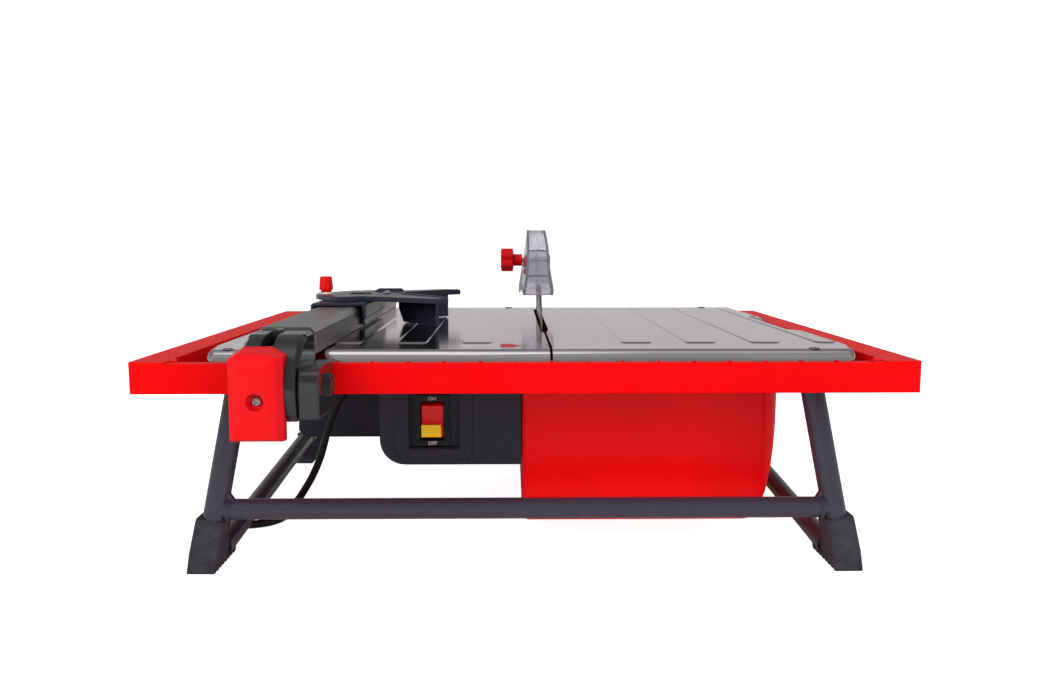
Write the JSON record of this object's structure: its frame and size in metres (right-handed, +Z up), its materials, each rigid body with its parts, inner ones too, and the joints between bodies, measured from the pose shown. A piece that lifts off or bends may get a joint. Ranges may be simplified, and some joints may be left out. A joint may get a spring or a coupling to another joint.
{
  "type": "table-top wet tile saw",
  "caption": "Table-top wet tile saw on a tube stand, with a stainless table, water tray, rip fence, mitre guide, clear blade guard and mains cord.",
  "frame": {"origin": "middle of the footprint on the ground", "axes": "+Z up, +X to the operator's right along the table's long side, +Y away from the operator along the cut"},
  "size_m": [0.56, 0.6764, 0.26],
  "materials": {
    "red_plastic": "glossy moulded plastic",
    "red_grips": "satin moulded plastic",
    "stainless": "polished sheet",
    "steel": "bright zinc",
    "tube_grey": "smooth grey paint",
    "rubber": "matt",
    "dark_plastic": "satin moulded plastic",
    "black_plastic": "glossy moulded plastic",
    "laminations": "stacked laminations",
    "machined_steel": "machined",
    "rocker_red": "glossy",
    "key_yellow": "glossy",
    "cord_rubber": "matt",
    "brass": "plain",
    "aluminium": "anodised",
    "pale_washer": "plain",
    "clear_plastic": "clear moulded plastic"
  },
  "bodies": {
    "base": {"table_frame": "red_plastic", "table_top": "stainless", "table_screws": "steel", "front_leg_frame": "tube_grey", "rear_leg_frame": "tube_grey", "left_side_tube": "tube_grey", "right_side_tube": "tube_grey", "brace_bolts": "steel", "front_left_foot": "rubber", "front_right_foot": "rubber", "rear_left_foot": "rubber", "rear_right_foot": "rubber", "water_tray": "red_plastic", "drain_plug": "rubber", "motor_housing": "dark_plastic", "motor_end_cover": "dark_plastic", "cover_screws": "steel", "motor_stator": "laminations", "arbor_bearings": "machined_steel", "switch_bezel": "black_plastic", "strain_relief": "cord_rubber", "power_cord": "cord_rubber", "cord_coil": "cord_rubber", "plug": "cord_rubber", "plug_pins": "brass", "riving_knife": "machined_steel", "knife_bracket": "machined_steel"},
    "rotor": {"arbor_shaft": "machined_steel", "cooling_fan": "black_plastic", "inner_flange": "machined_steel", "outer_flange": "machined_steel", "arbor_nut": "machined_steel", "saw_blade": "machined_steel"},
    "rocker": {"switch_rocker": "rocker_red"},
    "safety_key": {"switch_key": "key_yellow"},
    "fence": {"fence_bar": "aluminium", "fence_clamp_body": "black_plastic", "clamp_screw": "steel", "lever_pin": "steel", "fence_rear_hook": "black_plastic"},
    "lever": {"fence_lever": "red_grips", "lever_screw": "steel"},
    "jaw": {"clamp_jaw": "machined_steel"},
    "mitre_slide": {"mitre_saddle": "dark_plastic"},
    "mitre_head": {"mitre_plate": "dark_plastic", "mitre_pivot_screw": "steel", "mitre_washer": "pale_washer"},
    "mitre_lock": {"mitre_knob": "red_grips"},
    "guard_mount": {"guard_bolt": "steel"},
    "guard": {"blade_guard": "clear_plastic"},
    "guard_lock": {"guard_knob": "red_grips"}
  },
  "joints": [
    {"name": "blade_spin", "type": "hinge", "parent": "base", "child": "rotor", "pos_m": [0.01815, 0.12, 0.115], "axis": [1, 0, 0], "continuous": true},
    {"name": "rocker_tip", "type": "hinge", "parent": "base", "child": "rocker", "pos_m": [-0.07635, -0.089, 0.1014], "axis": [1, 0, 0], "range_deg": [-8, 8]},
    {"name": "key_pull", "type": "slide", "parent": "rocker", "child": "safety_key", "axis": [0, -1, 0], "range_m": [0, 0.012]},
    {"name": "fence_slide", "type": "slide", "parent": "base", "child": "fence", "axis": [1, 0, 0], "range_m": [-0.045, 0.02]},
    {"name": "lever_lift", "type": "hinge", "parent": "fence", "child": "lever", "pos_m": [-0.171, -0.231, 0.1525], "axis": [-1, 0, 0], "range_deg": [0, 40]},
    {"name": "jaw_drop", "type": "slide", "parent": "fence", "child": "jaw", "axis": [0, 0, -1], "range_m": [0, 0.0015]},
    {"name": "mitre_travel", "type": "slide", "parent": "fence", "child": "mitre_slide", "axis": [0, 1, 0], "range_m": [-0.12, 0.06]},
    {"name": "mitre_turn", "type": "hinge", "parent": "mitre_slide", "child": "mitre_head", "pos_m": [-0.132, 0.058, 0.195], "axis": [0, 0, 1], "range_deg": [-45, 45]},
    {"name": "mitre_knob_turn", "type": "hinge", "parent": "mitre_head", "child": "mitre_lock", "pos_m": [-0.191, 0.058, 0.2], "axis": [0, 0, 1], "continuous": true},
    {"name": "guard_height", "type": "slide", "parent": "base", "child": "guard_mount", "axis": [0, 0, 1], "range_m": [-0.004, 0.007]},
    {"name": "guard_tilt", "type": "hinge", "parent": "guard_mount", "child": "guard", "pos_m": [0.0155, 0.19, 0.2275], "axis": [-1, 0, 0], "range_deg": [0, 35]},
    {"name": "guard_knob_turn", "type": "hinge", "parent": "guard_mount", "child": "guard_lock", "pos_m": [-0.01, 0.19, 0.2275], "axis": [1, 0, 0], "continuous": true}
  ],
  "couplings": [
    {"joint": "jaw_drop", "follows": "lever_lift", "m_per_rad": 0.0021486}
  ]
}
